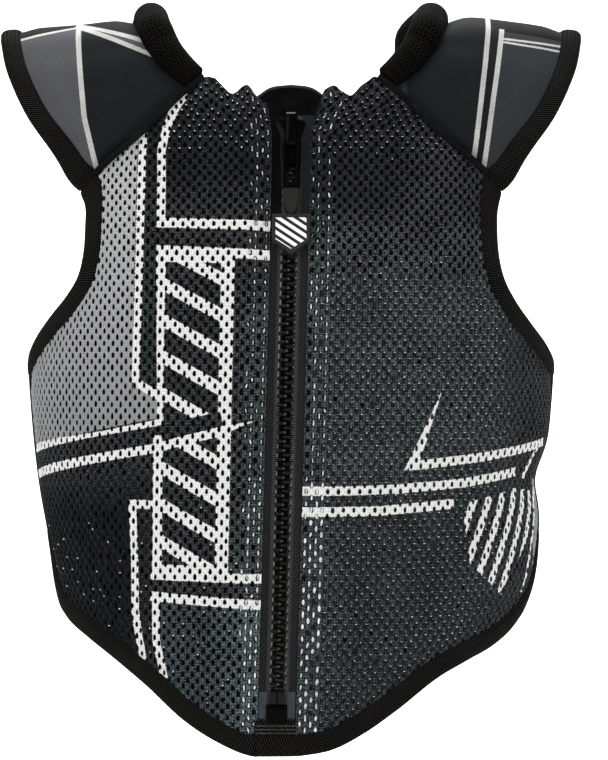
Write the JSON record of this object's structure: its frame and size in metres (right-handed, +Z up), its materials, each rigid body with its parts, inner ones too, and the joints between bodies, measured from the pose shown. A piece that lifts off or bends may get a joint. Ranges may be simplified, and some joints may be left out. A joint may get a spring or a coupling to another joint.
{
  "type": "body protector vest",
  "caption": "Sleeveless padded body protector vest in dark spacer mesh with a front zip, knit shoulder straps, neck rolls and webbing-bound edges.",
  "frame": {"origin": "where the straps sit on the shoulders: middle plane, half depth, height of the straps' underside", "axes": "+Z up, the zip faces -Y, +X is the wearer's left"},
  "size_m": [0.3066, 0.1943, 0.3905],
  "materials": {
    "spacer_mesh": "perforated 3-D knit mesh over foam, matt, with paler knitted-in stripes",
    "strap_knit": "smooth fine knit over foam, satin",
    "roll_mesh": "fine black mesh over a soft tube, matt",
    "webbing": "ribbed black binding webbing",
    "zip_tape": "black twill tape",
    "zip_resin": "moulded black resin and gloss-lacquered slider",
    "badge_rubber": "dark grey soft rubber with pale printed bars"
  },
  "bodies": {
    "vest": {"front_panel_right": "spacer_mesh", "front_panel_left": "spacer_mesh", "back_panel": "spacer_mesh", "shoulder_panel_right": "strap_knit", "shoulder_panel_left": "strap_knit", "neck_roll_right": "roll_mesh", "neck_roll_left": "roll_mesh", "shoulder_binding_right": "webbing", "shoulder_binding_left": "webbing", "armhole_binding_right": "webbing", "armhole_binding_left": "webbing", "hem_binding_right": "webbing", "hem_binding_left": "webbing", "side_tape_right": "webbing", "side_tape_left": "webbing", "seam_piping_front_right": "webbing", "seam_piping_front_left": "webbing", "seam_piping_back_right": "webbing", "seam_piping_back_left": "webbing", "hem_binding_back": "webbing", "zip_foot": "webbing", "zip_tape_right": "zip_tape", "zip_tape_left": "zip_tape", "zip_teeth_right": "zip_resin", "zip_teeth_left": "zip_resin", "zip_slider": "zip_resin", "zip_pin_right": "zip_resin", "zip_pin_left": "zip_resin", "zip_box": "zip_resin"},
    "pull": {"zip_pull": "zip_resin", "zip_badge": "badge_rubber"}
  },
  "joints": [
    {"name": "zip_pull_hinge", "type": "hinge", "parent": "vest", "child": "pull", "pos_m": [0, -0.0717, -0.05624], "axis": [1, 0, 0], "range_deg": [-165, 0]}
  ]
}
